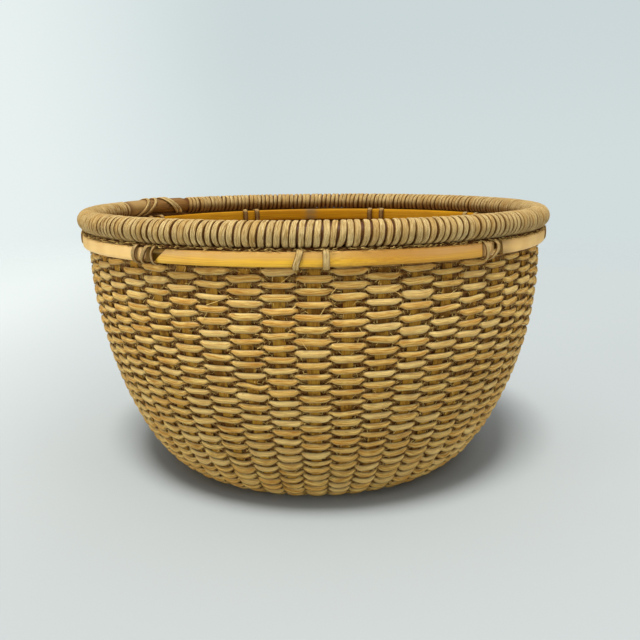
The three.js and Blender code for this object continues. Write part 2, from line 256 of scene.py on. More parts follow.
class Strips:
    """Gathers strips in one mesh, with the coordinates that their grain follows."""

    def __init__(self):
        self.mesh = bmesh.new()
        self.layer = {name: self.mesh.verts.layers.float.new(name) for name in ATTRIBUTES}

    def sweep(self, section, stations):
        """Rolls a grid into a strip that has a section's outline at each station."""
        columns = len(stations)
        grid = bmesh.ops.create_grid(
            self.mesh, x_segments=columns - 1, y_segments=len(section), size=1
        )
        verts = grid["verts"]
        layer = self.layer
        for row, (side, face) in enumerate((*section, section[0])):
            shade_share = 0.5 + 0.5 * face
            edge = abs(side)
            for column, station in enumerate(stations):
                vert = verts[row * columns + column]
                place = station.middle + station.across * (side * station.width_at(face) / 2)
                place += station.out * (face * station.thickness / 2)
                if station.skew:
                    place += station.skew * side
                vert.co = place
                vert[layer["along"]] = station.along
                vert[layer["across"]] = side * station.width / 2 + face * station.thickness / 2
                vert[layer["edge"]] = edge
                vert[layer["tone"]] = station.tone
                # Painted shade: the front's or back's share by face, deeper towards the strip's
                # edges, and on its lower edge by the under share.
                shade = station.shade_out * shade_share + station.shade_in * (1 - shade_share)
                shade = shade * (0.7 + 0.6 * edge) + station.under * max(0, -side) ** 2
                vert[layer["shade"]] = min(1, shade)

    def finish(self, name, skin, slot, replaces=()):
        """Closes the strips and makes them a piece of the basket."""
        bmesh.ops.remove_doubles(self.mesh, verts=self.mesh.verts[:], dist=1e-6)
        open_edges = [edge for edge in self.mesh.edges if edge.is_boundary]
        if open_edges:
            bmesh.ops.holes_fill(self.mesh, edges=open_edges, sides=0)
        bmesh.ops.recalc_face_normals(self.mesh, faces=self.mesh.faces[:])
        add_piece(name, to_mesh(self.mesh, name), skin, replaces)


def sweep_piece(name, section, stations, skin, slot, replaces):
    """A piece that is one strip."""
    strips = Strips()
    strips.sweep(section, stations)
    strips.finish(name, skin, slot, replaces)


def to_mesh(shape, name):
    """Turns a bmesh into a mesh, and frees it."""
    mesh = bpy.data.meshes.new(name)
    shape.to_mesh(mesh)
    shape.free()
    return mesh


def add_piece(name, mesh, skin, replaces=()):
    """Puts a mesh in the scene as a piece that rides on the basket."""
    mesh.polygons.foreach_set("use_smooth", [True] * len(mesh.polygons))
    mesh.set_sharp_from_angle(angle=SHARP_ANGLE)
    mesh.materials.append(skin)
    piece = bpy.data.objects.new(name, mesh)
    bpy.context.scene.collection.objects.link(piece)
    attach(piece, "root")
    if replaces:
        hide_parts(*replaces)


# Places on the basket


def way_out(place):
    """The way out from the axis at a place counted in stakes from the front, towards +X."""
    angle = place * STAKE_ANGLE - math.pi / 2
    return Vector((math.cos(angle), math.sin(angle), 0))


def way_round(place):
    """The way round the basket at a place, towards the next stakes."""
    return way_out(place + STAKES / 4)


def smooth(value):
    """0 below 0, 1 above 1, and an even S between them."""
    value = min(1.0, max(0.0, value))
    return value * value * (3 - 2 * value)


def ramp(value, start, end):
    """0 before a start, 1 past an end, and smooth between them. The end may be the lower one."""
    return smooth((value - start) / (end - start))


def ripple(x, y, z):
    """A smooth random height from about -1 to 1."""
    return noise.noise(Vector((x, y, z)))


def between(values, place):
    """A value from a list, blended smoothly from each whole place to the next."""
    near = int(math.floor(place))
    return values[near] + (values[near + 1] - values[near]) * smooth(place - near)


class Wall:
    """The outside line of the weave, from the first row under the base up to the hoops' top."""

    STEPS = 600
    SWAY = 0.0016
    FULL_SWAY = 0.09
    NOT_QUITE_ALL = 1e-7

    def __init__(self, weave):
        corners = [
            Vector((weave.base_radius, 0)),
            Vector((weave.base_radius + weave.base_curve, 0)),
            Vector((weave.wall_radius + weave.wall_bulge, HOOP_HIGH.z - weave.wall_reach)),
            Vector((weave.wall_radius, HOOP_HIGH.z)),
        ]
        self.points = [Vector((weave.weave_start, 0))]
        for step in range(self.STEPS + 1):
            share = step / self.STEPS
            self.points.append(
                corners[0] * (1 - share) ** 3
                + corners[1] * (3 * share * (1 - share) ** 2)
                + corners[2] * (3 * share * share * (1 - share))
                + corners[3] * share**3
            )
        self.height = corners[3].y
        self.lopsided = weave.lopsided
        self.distances = [0.0]
        for near, far in zip(self.points, self.points[1:]):
            self.distances.append(self.distances[-1] + (far - near).length)
        self.length = self.distances[-1]

    def at(self, distance):
        """The point at a distance along the line, and the way along it, as radius and height."""
        distance = min(self.length - self.NOT_QUITE_ALL, max(0.0, distance))
        index = bisect.bisect_right(self.distances, distance) - 1
        near, far = self.points[index], self.points[index + 1]
        step = self.distances[index + 1] - self.distances[index]
        share = (distance - self.distances[index]) / step
        return near.lerp(far, share), (far - near) / step

    def spot(self, place, distance, depth):
        """A point under the weave's outside, with the ways along the wall and out of it. Stakes
        and canes sway round the basket together, more and more up to a distance."""
        point, along = self.at(distance)
        ring = way_out(place) * 3.1
        sway = self.SWAY * ripple(ring.x, ring.y, distance * 17)
        sway *= smooth(distance / self.FULL_SWAY)
        radial = way_out(place + sway / (point.x * STAKE_ANGLE))
        out = radial * along.y - UP * along.x
        belly = math.sin(math.pi * min(1, point.y / self.height))
        depth -= self.lopsided * smooth(radial.x) * belly
        middle = radial * point.x + UP * point.y - out * depth
        return middle, radial * along.x + UP * along.y, out


# Materials


class Tree:
    """Adds nodes to a tree and links what they are given."""

    def __init__(self, tree):
        self.tree = tree

    def add(self, kind, values=None, **settings):
        node = self.tree.nodes.new(kind)
        for key, value in settings.items():
            setattr(node, key, value)
        for key, value in (values or {}).items():
            socket = node.inputs[key]
            if isinstance(value, bpy.types.NodeSocket):
                self.tree.links.new(value, socket)
            else:
                socket.default_value = value
        return node

    def math(self, operation, a, b):
        return self.add("ShaderNodeMath", {0: a, 1: b}, operation=operation).outputs[0]

    def line(self, value, slope, start):
        """A value times a slope, and a start added."""
        return self.math("ADD", self.math("MULTIPLY", value, slope), start)

    def mix(self, share, a, b):
        def full(value):
            return value if isinstance(value, bpy.types.NodeSocket) else (*value[:3], 1)

        node = self.add("ShaderNodeMix", {0: share, 6: full(a), 7: full(b)}, data_type="RGBA")
        return node.outputs[2]

    def layers(self, base, *layers):
        """Lays tints over a base, one after the other. Each layer has a value that says where it
        shows, the share of it that shows there, and its tint."""
        for where, share, laid in layers:
            base = self.mix(self.math("MULTIPLY", where, share), base, laid)
        return base

    def span(self, value, low, high, to_low=0.0, to_high=1.0):
        node = self.add(
            "ShaderNodeMapRange",
            {"Value": value, "From Min": low, "From Max": high, "To Min": to_low, "To Max": to_high},
            interpolation_type="SMOOTHSTEP",
        )
        return node.outputs[0]

    def attribute(self, name):
        return self.add("ShaderNodeAttribute", attribute_name=name).outputs["Fac"]

    def noise(self, vector, scale, detail=3.0, roughness=0.6):
        node = self.add(
            "ShaderNodeTexNoise",
            {"Vector": vector, "Scale": scale, "Detail": detail, "Roughness": roughness},
        )
        return node.outputs["Fac"]


class Skin(Tree):
    """The nodes of a new material."""

    def __init__(self, name):
        self.material = bpy.data.materials.new(name)
        self.material.use_nodes = True
        self.material.node_tree.nodes.clear()
        super().__init__(self.material.node_tree)
        self.surface = self.add("ShaderNodeBsdfPrincipled")
        self.add("ShaderNodeOutputMaterial", {0: self.surface.outputs[0]})

    def grain(self, length, width, mottle):
        """The shared grain, with a length and a width of its streaks and a scale of its mottling."""
        node = self.add(
            "ShaderNodeGroup",
            {"Streak Length": length, "Streak Width": width, "Mottle Scale": mottle},
            node_tree=grain_group(),
        )
        return node.outputs

    def finish(self, base, rough, height, bump, specular):
        """Gives the surface its colour, roughness, bumps and specular level."""
        node = self.add("ShaderNodeBump", {"Height": height, "Distance": bump, "Strength": 1.0})
        links = self.tree.links
        links.new(base, self.surface.inputs["Base Color"])
        links.new(rough, self.surface.inputs["Roughness"])
        links.new(node.outputs[0], self.surface.inputs["Normal"])
        self.surface.inputs["Specular IOR Level"].default_value = specular
        return self.material


def grain_group():
    """Streaks that run along a strip, fine fibres in them and broad mottling."""
    found = bpy.data.node_groups.get("Strip Grain")
    if found:
        return found
    group = bpy.data.node_groups.new("Strip Grain", "ShaderNodeTree")
    for name in ("Streak Length", "Streak Width", "Mottle Scale"):
        group.interface.new_socket(name=name, in_out="INPUT", socket_type="NodeSocketFloat")
    t = Tree(group)
    given = t.add("NodeGroupInput").outputs
    along, across, tone = (t.attribute(name) for name in ("along", "across", "tone"))
    run = t.math("DIVIDE", along, given["Streak Length"])
    side = t.math("DIVIDE", across, given["Streak Width"])
    shift = t.math("MULTIPLY", tone, 40)
    place = t.add("ShaderNodeCombineXYZ", {0: run, 1: side, 2: shift}).outputs[0]
    finer = t.add("ShaderNodeVectorMath", {0: place, 1: (1.7, 3.6, 1)}, operation="MULTIPLY")
    streaks = t.noise(place, 1.0, 4.0, 0.65)
    fibres = t.noise(finer.outputs[0], 1.0, 3.0, 0.7)
    surface = t.add("ShaderNodeTexCoord").outputs["Object"]
    results = {
        "Streaks": t.span(streaks, 0.38, 0.64),
        "Fibres": t.span(fibres, 0.4, 0.64),
        "Mottle": t.span(t.noise(surface, given["Mottle Scale"]), 0.35, 0.65),
        "Fuzz": t.span(t.noise(surface, 1100.0, 3.0, 0.75), 0.46, 0.68),
        "Height": t.math("ADD", t.math("MULTIPLY", streaks, 0.6), t.math("MULTIPLY", fibres, 0.4)),
    }
    for name in results:
        group.interface.new_socket(name=name, in_out="OUTPUT", socket_type="NodeSocketFloat")
    t.add("NodeGroupOutput", results)
    return group


def cane_material(weave):
    """Split cane: straw with darker streaks, pale edges that are a painted highlight, and painted
    shade, brown with specks of fibre, where it dives into the weave.
    """
    t = Skin("Split Cane")
    grain = t.grain(0.012, 0.0006, 70)
    tone, shade, edge = (t.attribute(name) for name in ("tone", "shade", "edge"))
    base = t.layers(
        weave.cane_light,
        (grain["Streaks"], 0.8, weave.cane_dark),
        (grain["Fibres"], 0.46, colour(118, 66, 4)),
        (t.span(tone, 0.55, 1.0), 0.3, colour(216, 150, 58)),
        (t.span(tone, 0.4, 0.0), 0.4, colour(250, 222, 152)),
        # Painted highlight: paler towards both edges of the cane.
        (t.span(edge, 0.5, 0.95), 0.45, colour(255, 238, 178)),
        (grain["Mottle"], 0.2, colour(172, 112, 24)),
        # Painted shade where the cane dives into the weave and along its lower edge, speckled with
        # loose fibre.
        (shade, 1.0, t.layers(weave.brown_and_recess_shade, (grain["Fuzz"], 0.26, weave.fibre))),
    )
    return t.finish(base, t.line(grain["Streaks"], 0.2, 0.5), grain["Height"], 0.0006, 0.12)


def stake_material(weave):
    """Raw splint: amber with brown streaks along it, and painted shade that is deepest at its frayed
    edges.
    """
    t = Skin("Raw Splint")
    grain = t.grain(0.014, 0.0004, 80)
    place = t.add("ShaderNodeTexCoord").outputs["Object"]
    grime = t.span(t.noise(place, 150), 0.44, 0.6)
    base = t.layers(
        weave.stake,
        (grain["Streaks"], 1.0, weave.stake_dark),
        (grain["Fibres"], 0.5, colour(248, 190, 84)),
        # Painted shade: towards the stake's edges here, and over all of it by the shade attribute
        # below.
        (t.span(t.attribute("edge"), 0.55, 1.0), 0.5, weave.brown_and_recess_shade),
        (grime, 0.75, weave.brown_and_recess_shade),
        (t.attribute("shade"), 1.0, weave.brown_and_recess_shade),
    )
    return t.finish(base, t.line(grain["Fibres"], 0.2, 0.6), grain["Height"], 0.0003, 0.12)


def fibre_material(weave):
    """Loose fibres, from brown to pale."""
    t = Skin("Loose Fibre")
    grain = t.grain(0.002, 0.0002, 200)
    base = t.layers(
        weave.brown_and_recess_shade,
        (t.span(t.attribute("tone"), 0.2, 0.9), 1.0, weave.fibre),
        (grain["Mottle"], 0.3, weave.brown_and_recess_shade),
    )
    return t.finish(base, t.line(grain["Fibres"], 0.1, 0.75), grain["Height"], 0.00005, 0.1)


def bamboo_material(hoops):
    """Smooth amber bamboo: fine long grain, a pale pinkish zone above and painted shade at its cut
    ends. A tone up to 0.3 turns it browner, and one past 0.4 paler."""
    t = Skin("Bamboo Skin")
    grain = t.grain(0.05, 0.00045, 30)
    across, along, tone = (t.attribute(name) for name in ("across", "along", "tone"))
    slow = t.add("ShaderNodeCombineXYZ", {0: t.math("MULTIPLY", along, 28)}).outputs[0]
    drift = t.math("MULTIPLY", t.noise(slow, 1.0, 2.0), 0.005)
    zone = t.span(t.math("ADD", across, drift), 0.0032, 0.0058)
    ripe = t.math("MULTIPLY", t.span(tone, 0.0, 0.3), t.span(tone, 0.4, 0.32))
    base = t.layers(
        hoops.bamboo,
        (grain["Streaks"], 0.6, hoops.bamboo_dark),
        (zone, 0.8, hoops.bamboo_pale),
        (grain["Fibres"], 0.25, colour(250, 212, 128)),
        (ripe, 0.5, colour(188, 124, 40)),
        (t.span(tone, 0.4, 0.6), 0.75, colour(255, 218, 148)),
        (grain["Mottle"], 0.25, hoops.bamboo_dark),
        # Painted shade at the hoops' cut ends, in the joints.
        (t.attribute("shade"), 1.0, colour(92, 60, 20)),
    )
    return t.finish(base, t.line(grain["Streaks"], 0.15, 0.36), grain["Height"], 0.00012, 0.35)


def inner_bamboo_material(hoops):
    """Deep amber bamboo, its own colour darkened with painted shade for the basket's shaded inside,
    with long brown grain and grey-brown nodes.
    """
    t = Skin("Inner Bamboo")
    grain = t.grain(0.04, 0.0005, 30)
    base = t.layers(
        hoops.shaded_inner_bamboo,
        (grain["Streaks"], 0.6, colour(144, 82, 0)),
        (grain["Fibres"], 0.25, colour(240, 192, 50)),
        (grain["Mottle"], 0.3, colour(140, 80, 4)),
        (t.attribute("shade"), 1.0, hoops.bamboo_node),
    )
    return t.finish(base, t.line(grain["Streaks"], 0.15, 0.5), grain["Height"], 0.00012, 0.15)


def aged_material(rim):
    """Aged cane: grey-tan and fibrous, with a pale painted highlight along its ridge and brown
    painted shade at its edges, in the grooves between turns.
    """
    t = Skin("Aged Cane")
    grain = t.grain(0.008, 0.00042, 110)
    tone, shade, edge = (t.attribute(name) for name in ("tone", "shade", "edge"))
    # Painted highlight: paler along the strand's ridge.
    ridge = t.math("MULTIPLY", t.span(edge, -0.4, 0.4), t.span(edge, 0.95, 0.6))
    ridge_highlight = t.math("MULTIPLY", ridge, t.span(grain["Fibres"], 0.05, 0.75))
    base = t.layers(
        rim.aged,
        (grain["Streaks"], 1.0, rim.aged_dark),
        (ridge_highlight, 0.8, rim.aged_pale),
        (t.span(tone, 0.5, 1.0), 0.35, colour(190, 142, 64)),
        (grain["Mottle"], 0.25, rim.aged_dark),
        # Painted shade: darker at the strand's edges, between the turns, and wherever the shade
        # attribute is set.
        (t.span(edge, 0.7, 1.0), 0.75, rim.groove_shade),
        (shade, 1.0, t.layers(rim.groove_shade, (grain["Fuzz"], 0.3, rim.aged))),
    )
    return t.finish(base, t.line(grain["Fibres"], 0.2, 0.6), grain["Height"], 0.0007, 0.15)


def bark_material(rim):
    """Smooth brown bark with darker lengthwise streaks."""
    t = Skin("Rod Bark")
    grain = t.grain(0.03, 0.0008, 60)
    base = t.layers(
        rim.bark,
        (grain["Streaks"], 1.0, rim.bark_dark),
        (grain["Mottle"], 0.35, colour(160, 112, 48)),
        (t.attribute("tone"), 1.0, colour(176, 142, 86)),
        # Painted shade where the rod is bound.
        (t.attribute("shade"), 1.0, rim.groove_shade),
    )
    return t.finish(base, t.line(grain["Fibres"], 0.2, 0.4), grain["Height"], 0.0002, 0.3)


def material(name, build, settings):
    """The material of a name, built when it is first asked for."""
    return bpy.data.materials.get(name) or build(settings)


# Weave

CANE_SEED, TOP_ROW_SEED, TWIST_SEED = 31, 61, 71

# Stations of a cane from one stake to the next, closest where it dives between them.
CANE_PLACES = (0, 0.12, 0.24, 0.34, 0.39, 0.43, 0.46, 0.5, 0.54, 0.57, 0.61, 0.66, 0.76, 0.88)

# Distances up the wall's line over which the weave changes: from the depth that keeps the lowest
# rows above the floor to the wall's, to rows that overlap like shingles, and to the upper weave.
RISING = (0.028, 0.053)
SHINGLES = (0.034, 0.05)
UPPER_WEAVE = (0.05, 0.12)
SHINGLE_LEAN = math.radians(33)

TOP_ROWS = 2
ROW_GAP = 0.0012  # between the woven rows and those that the hoops clamp

WALL_STEP = 0.0016  # between a splint's stations up the wall
UNDER_STEPS = 14
CROSSING_STEPS = 30
CROSSING_MARGIN = 0.001
LAYER_GAP = 0.0001
FLOOR_GAP = 0.00002


def weave_sizes(weave):
    """The wall's line, the top of the woven rows and the height of a row."""
    wall = Wall(weave)
    top = wall.length - (HOOP_HIGH.z - HOOP_LOW.z) - ROW_GAP
    return wall, top, top / (2 * (weave.weaver_turns - 1))


class Wander:
    """Small differences from one crossing to the next, which hold for a whole strand."""

    def __init__(self, seed, count):
        draw = random.Random(seed)
        self.width = [draw.gauss(1, 0.11) for _ in range(count)]
        self.shift = [draw.gauss(0, 0.0002) for _ in range(count)]
        self.depth = [draw.uniform(0, 0.00022) for _ in range(count)]
        self.tilt = [draw.gauss(0, 0.00018) for _ in range(count)]
        self.tone = [draw.random() for _ in range(count)]
        self.late = [draw.gauss(0, 0.035) for _ in range(count)]


class Crossing:
    """How far a cane has come in its swing over one stake and under the next. The swing goes from
    -1 inside to 1 outside, sunk from 0 outside to 1 inside, and dive from 0 to 1 as the cane
    crosses the wall."""

    def __init__(self, wander, weaver, place, low):
        self.place, self.low, self.nearest = place, low, round(place)
        self.upper = ramp(low, *UPPER_WEAVE)
        self.shingled = ramp(low, *SHINGLES) * (1 - 0.8 * self.upper)
        even = math.cos(math.pi * (place + weaver + between(wander.late, place)))
        self.hold = abs(even) ** 0.3
        self.swing = min(1, even + 0.04 + 0.13 * self.upper)
        sharp = 1.3 + 1.3 * self.upper
        self.bend = math.tanh(sharp * self.swing) / math.tanh(sharp)
        self.sunk = (1 - self.bend) / 2
        self.dive = ramp(self.sunk, 0.42, 0.56)


def cane_width(weave, wander, weaver, at, pitch):
    """A cane's width and what its dive takes off it. It narrows as it dives, closes the gap between
    the rows where it crosses the wall, and narrows again inside."""
    full = weave.cane_width * min(1.3, max(0.7, wander.width[at.nearest]))
    rag = 1 + 0.05 * ripple(at.place * 9, weaver * 40.0 + at.place, 0)
    seen = full * rag * (1 - (0.15 + 0.4 * at.upper) * ramp(abs(at.swing), 0.75, 0.05))
    cover = (2.0 - 0.25 * at.upper) * pitch
    narrow = (0.3 + 0.7 * at.upper) * ramp(at.sunk, 0.62, 0.74)
    return seen + max(0, cover - seen) * at.dive * (1 - narrow), full - seen


def cane_depth(weave, wander, at):
    """From the outside of the wall to a cane's middle. The lowest rows stay above the floor."""
    reach = weave.swing - between(wander.depth, at.place)
    reach *= (1 - 0.25 * ramp(at.sunk, 0.5, 1)) * (1 + 0.3 * at.shingled)
    flat = weave.swing + weave.cane_thickness / 2
    return flat + (weave.middle_depth - flat) * ramp(at.low, *RISING) - reach * at.bend


def cane_shift(wander, at, loss):
    """How far a cane lies above the middle of its row: lower outside a stake than inside one."""
    shift = between(wander.shift, at.place)
    shift -= (0.0018 - 0.0015 * at.upper) * (max(0, at.swing) - 0.5)
    shift += 0.2 * loss * ramp(at.sunk, 0.35, 0.25)
    return shift + wander.tilt[at.nearest] * math.sin(2 * math.pi * (at.place - at.nearest))


def cane_station(weave, wall, wander, weaver, place, low, row, pitch):
    """A cane at a place round the basket, in a row that has a lower edge and a height."""
    at = Crossing(wander, weaver, place, low)
    width, loss = cane_width(weave, wander, weaver, at, pitch)
    squeeze = row / pitch
    distance = low + row / 2 + cane_shift(wander, at, loss) * squeeze
    middle, along, out = wall.spot(place, distance, cane_depth(weave, wander, at))
    lean = SHINGLE_LEAN * at.shingled * smooth(at.swing * 3)
    return Station(
        middle,
        along * math.cos(lean) - out * math.sin(lean),
        out * math.cos(lean) + along * math.sin(lean),
        width * squeeze,
        weave.cane_thickness * (0.86 + 0.14 * at.hold),
        wall.at(low)[0].x * STAKE_ANGLE * place,
        wander.tone[at.nearest],
        # Painted shade: on the front as the cane sinks into the weave, on the back while it passes
        # outside a stake, and on its lower edge, most in the low rows.
        shade_out=ramp(at.sunk, 0.34, 0.54),
        shade_in=0.9 * ramp(at.sunk, 0.74, 0.56),
        skirt=2.4 * row * ramp(at.swing, 0.6, 0.4) * ramp(at.sunk, 0.7, 0.6),
        wing=((2.5 - 0.3 * at.upper) * at.dive + 0.5 * ramp(at.sunk, 0.58, 0.7)) * row,
        under=0.85 - 0.65 * at.upper,
    )


def cane_places(first, last):
    """The places of a cane's stations from one stake to a later one."""
    places = [stake + part for stake in range(first, last) for part in CANE_PLACES]
    return [*places, last]


def weaver_cell(weaver, place, turns, pitch):
    """Where a weaver's row lies at a place, as its lower edge and its height along the wall."""
    turn = place / STAKES
    row = pitch * max(0.06, min(1, turn, turns - turn))
    return 2 * pitch * max(0, turn - 1) + weaver * row, row


def length_ends(turns):
    """The turns at which the lengths of cane in a weaver meet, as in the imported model."""
    wall_turns = (CAD_TURNS - CAD_END_GAP - CAD_BASE_TURNS) / CAD_WALL_LENGTHS
    ends = [CAD_BASE_TURNS + wall_turns * length for length in range(CAD_WALL_LENGTHS)]
    ends = [1 + (end - 1) * (turns - 1) / (CAD_TURNS - 1) for end in ends]
    return [CAD_END_GAP, *ends, turns - CAD_END_GAP]


def inside_stake(turn, weaver):
    """The stake at a turn, or the next one, so that a weaver passes inside it and its end hides."""
    stake = round(turn * STAKES)
    return stake + (stake + weaver + 1) % 2


def build_weavers(weave):
    wall, _, pitch = weave_sizes(weave)
    turns = weave.weaver_turns
    skin = material("Split Cane", cane_material, weave)
    ends = length_ends(turns)
    for weaver, letter in enumerate("ab"):
        wander = Wander(CANE_SEED + weaver, turns * STAKES + 2)
        for length, (start, end) in enumerate(zip(ends, ends[1:])):
            first = inside_stake(start, weaver)
            last = min(inside_stake(end, weaver), turns * STAKES - 1)
            stations = []
            for place in cane_places(first, last):
                low, row = weaver_cell(weaver, place, turns, pitch)
                stations.append(cane_station(weave, wall, wander, weaver, place, low, row, pitch))
            name = f"weaver_{letter}_{length + 1}"
            sweep_piece(f"cane_{name}", CANE_SECTION, stations, skin, "weaver_cane", [name])


def cane_ring(weave, wall, wander, weaver, low, row, pitch):
    """The stations of a cane that goes round the basket once and closes."""
    stations = [
        cane_station(weave, wall, wander, weaver, place, low, row, pitch)
        for place in cane_places(0, STAKES)
    ]
    stations[-1] = stations[0]
    return stations


def build_top_rows(weave):
    """The rows that the hoops clamp, and a thin twisted strand that shows under them. The strand
    carries painted shade from the hoops above, but for its outer passes in front."""
    wall, top, pitch = weave_sizes(weave)
    skin = material("Split Cane", cane_material, weave)
    row = (HOOP_HIGH.z - HOOP_LOW.z) / TOP_ROWS
    strips = Strips()
    for number in range(TOP_ROWS):
        wander = Wander(TOP_ROW_SEED + number, STAKES + 2)
        low = wall.length - row * (TOP_ROWS - number) + 0.0001
        strips.sweep(
            CANE_SECTION, cane_ring(weave, wall, wander, number, low, row * 0.86, row)
        )
    for strand in (0, 1):
        wander = Wander(TWIST_SEED + strand, STAKES + 2)
        stations = cane_ring(weave, wall, wander, strand, top, pitch * 0.5, pitch)
        for place, station in zip(cane_places(0, STAKES)[:-1], stations):
            # Painted shade under the hoops, lifted on the outer passes in front.
            front = math.exp(-((min(place, STAKES - place) / 1.5) ** 2))
            station.shade_out = 0.8 - 0.6 * front * (station.shade_out < 0.5)
            station.shade_in = 0.9
        strips.sweep(CANE_SECTION, stations)
    strips.finish("cane_top_rows", skin, "weaver_cane", ["top_row"])


def stake_width(weave, radius):
    """The width of a stake at a distance from the axis."""
    return weave.stake_share * STAKE_ANGLE * radius


def splint_half(weave, wall, stake, edge):
    """Half of a splint as middles, ways out and widths: down the wall from its top, then under the
    base to an edge of the crossing."""
    half = []
    count = round(wall.length / WALL_STEP)
    for index in range(count, 0, -1):
        distance = wall.length * index / count
        middle, _, out = wall.spot(stake, distance, weave.middle_depth)
        half.append((middle, out, stake_width(weave, wall.at(distance)[0].x)))
    start, _, out = wall.spot(stake, 0, weave.middle_depth)
    for index in range(UNDER_STEPS + 1):
        share = index / UNDER_STEPS
        middle = start.lerp(edge, share)
        middle.z = start.z + (edge.z - start.z) * smooth(share)
        half.append((middle, out, stake_width(weave, weave.weave_start)))
    return half


def splint_line(weave, wall, middle_stake, offset, height):
    """A splint from the top of the wall under the base to the top of the other side."""
    reach = weave.splint_pitch * (SPLINTS_EACH_WAY - 1) / 2
    reach += stake_width(weave, weave.weave_start) / 2 + CROSSING_MARGIN
    ahead = way_out(middle_stake) * reach
    beside = way_round(middle_stake) * (offset * weave.splint_pitch)
    beside += UP * (height + weave.splint_thickness / 2)
    near = splint_half(weave, wall, middle_stake + offset, beside + ahead)
    far = splint_half(weave, wall, middle_stake + STAKES / 2 - offset, beside - ahead)
    edge, out, width = near[-1]
    crossing = [
        (edge.lerp(far[-1][0], index / CROSSING_STEPS), out, width)
        for index in range(1, CROSSING_STEPS)
    ]
    return near + crossing + far[::-1]


def splint_stations(line, thickness, wander):
    """The stations along a splint, whose edges are a little ragged."""
    stations = []
    run = 0.0
    for index, (middle, out, width) in enumerate(line):
        before = line[max(0, index - 1)][0]
        after = line[min(len(line) - 1, index + 1)][0]
        across = out.cross((after - before).normalized()).normalized()
        run += (middle - before).length
        rag = ripple(run * 900, wander, 0) * 0.05
        fray = ripple(run * 260, wander, 9) * 0.03
        # A little painted shade over every splint, deeper at its edges.
        stations.append(
            Station(middle, across, out, width * (1 + rag + fray), thickness,
                    run, (wander * 0.37) % 1, 0.12, 0.12)
        )
    return stations


def build_stakes(weave):
    wall, _, _ = weave_sizes(weave)
    skin = material("Raw Splint", stake_material, weave)
    thickness = weave.splint_thickness
    for layer, middle_stake, height, seed in (
        ("lower", SPLINTS_EACH_WAY, FLOOR_GAP, 0),
        ("upper", 2 * SPLINTS_EACH_WAY, thickness + LAYER_GAP + FLOOR_GAP, 50),
    ):
        strips = Strips()
        names = []
        for index in range(SPLINTS_EACH_WAY):
            offset = index - (SPLINTS_EACH_WAY - 1) / 2
            line = splint_line(weave, wall, middle_stake, offset, height)
            strips.sweep(SPLINT_SECTION, splint_stations(line, thickness, index * 3.7 + seed))
            names.append(f"splint_{layer}_{index + 1:02d}")
        strips.finish(f"stakes_{layer}", skin, "stake_splint", names)


def add_hair(mesh, middle, ahead, length, thickness, level):
    """A thin straight fibre with three sides."""
    turn = ahead.to_track_quat("Z", "Y").to_matrix().to_4x4()
    made = bmesh.ops.create_cone(
        mesh, segments=3, radius1=thickness, radius2=thickness * 0.4, depth=length,
        cap_ends=True, matrix=Matrix.Translation(middle) @ turn,
    )
    tone = mesh.verts.layers.float["tone"]
    for vert in made["verts"]:
        vert[tone] = level


def add_random_hair(mesh, draw, middle, ahead, shortest, finest):
    """A fibre of a random length, thicker where its tone is paler."""
    level = draw.random()
    length = draw.uniform(shortest, 0.003)
    add_hair(mesh, middle, ahead, length, finest + 0.00014 * level, level)


STRAY_FIBRES = (  # place in stakes, depth under the hoops' top, slant in degrees, length
    (-2.9, 0.026, 20, 0.009), (-3.2, 0.033, 55, 0.010), (-0.27, 0.046, 120, 0.006),
    (0.58, 0.0185, 50, 0.006), (0.25, 0.029, 60, 0.006), (-1.4, 0.016, 15, 0.006),
    (-0.78, 0.0135, 40, 0.006), (2.3, 0.021, 150, 0.006), (4.1, 0.024, 35, 0.007),
)


def add_stray_fibres(mesh, wall):
    """The longer fibres that stick out in front."""
    for stake, below, slant, length in STRAY_FIBRES:
        middle, along, out = wall.spot(stake, wall.length - below, -0.0003)
        slant = math.radians(slant)
        ahead = along * math.sin(slant) + way_round(stake) * math.cos(slant)
        add_hair(mesh, middle, ahead + out * 0.1, length, 0.0002, 1.0)


def fill_row(draw, wall, top, pitch, row, under_hoop):
    """The fibres in the hollows of one row, beside every other stake, or beside all of them right
    under the hoops."""
    tuft = new_fibres()
    for stake in range(STAKES):
        if (stake + row) % 2 == 0 and not under_hoop:
            continue
        for side in (-1, 1):
            for _ in range(draw.choice((5, 7, 9, 11)) + 5 * under_hoop):
                reach = draw.uniform(0.0 if under_hoop else 0.12, 0.5)
                distance = min(top + 0.0004, (row + draw.uniform(0.05, 0.95)) * pitch)
                depth = draw.uniform(0.0002, 0.0018)
                middle, along, out = wall.spot(stake + side * reach, distance, depth)
                turned = draw.uniform(0, math.pi)
                ahead = along * math.cos(turned) + way_round(stake) * math.sin(turned)
                ahead += out * draw.uniform(-0.5, 0.12)
                add_random_hair(tuft, draw, middle, ahead, 0.0012, 0.00006)
    return to_mesh(tuft, "tuft")


def new_fibres():
    """An empty mesh for fibres, with the tone that their colour follows."""
    mesh = bmesh.new()
    mesh.verts.layers.float.new("tone")
    return mesh


def build_fibres(weave):
    """Short fibres in the hollows beside the stakes, thickest under the hoops. Each row is made by
    itself and then added, because operators slow down in a full mesh."""
    wall, top, pitch = weave_sizes(weave)
    draw = random.Random(7)
    skin = material("Loose Fibre", fibre_material, weave)
    rows = int(top / pitch)
    bounds = (12, rows // 2, rows * 3 // 4, rows + 1)
    for part, (first, last) in enumerate(zip(bounds, bounds[1:])):
        gathered = new_fibres()
        for row in range(first, last):
            loose = fill_row(draw, wall, top, pitch, row, row == rows)
            gathered.from_mesh(loose)
            bpy.data.meshes.remove(loose)
        if last > rows:
            add_stray_fibres(gathered, wall)
        mesh = to_mesh(gathered, f"fibres_{part + 1}")
        add_piece(f"weave_fibres_{part + 1}", mesh, skin)


# Hoops and ties

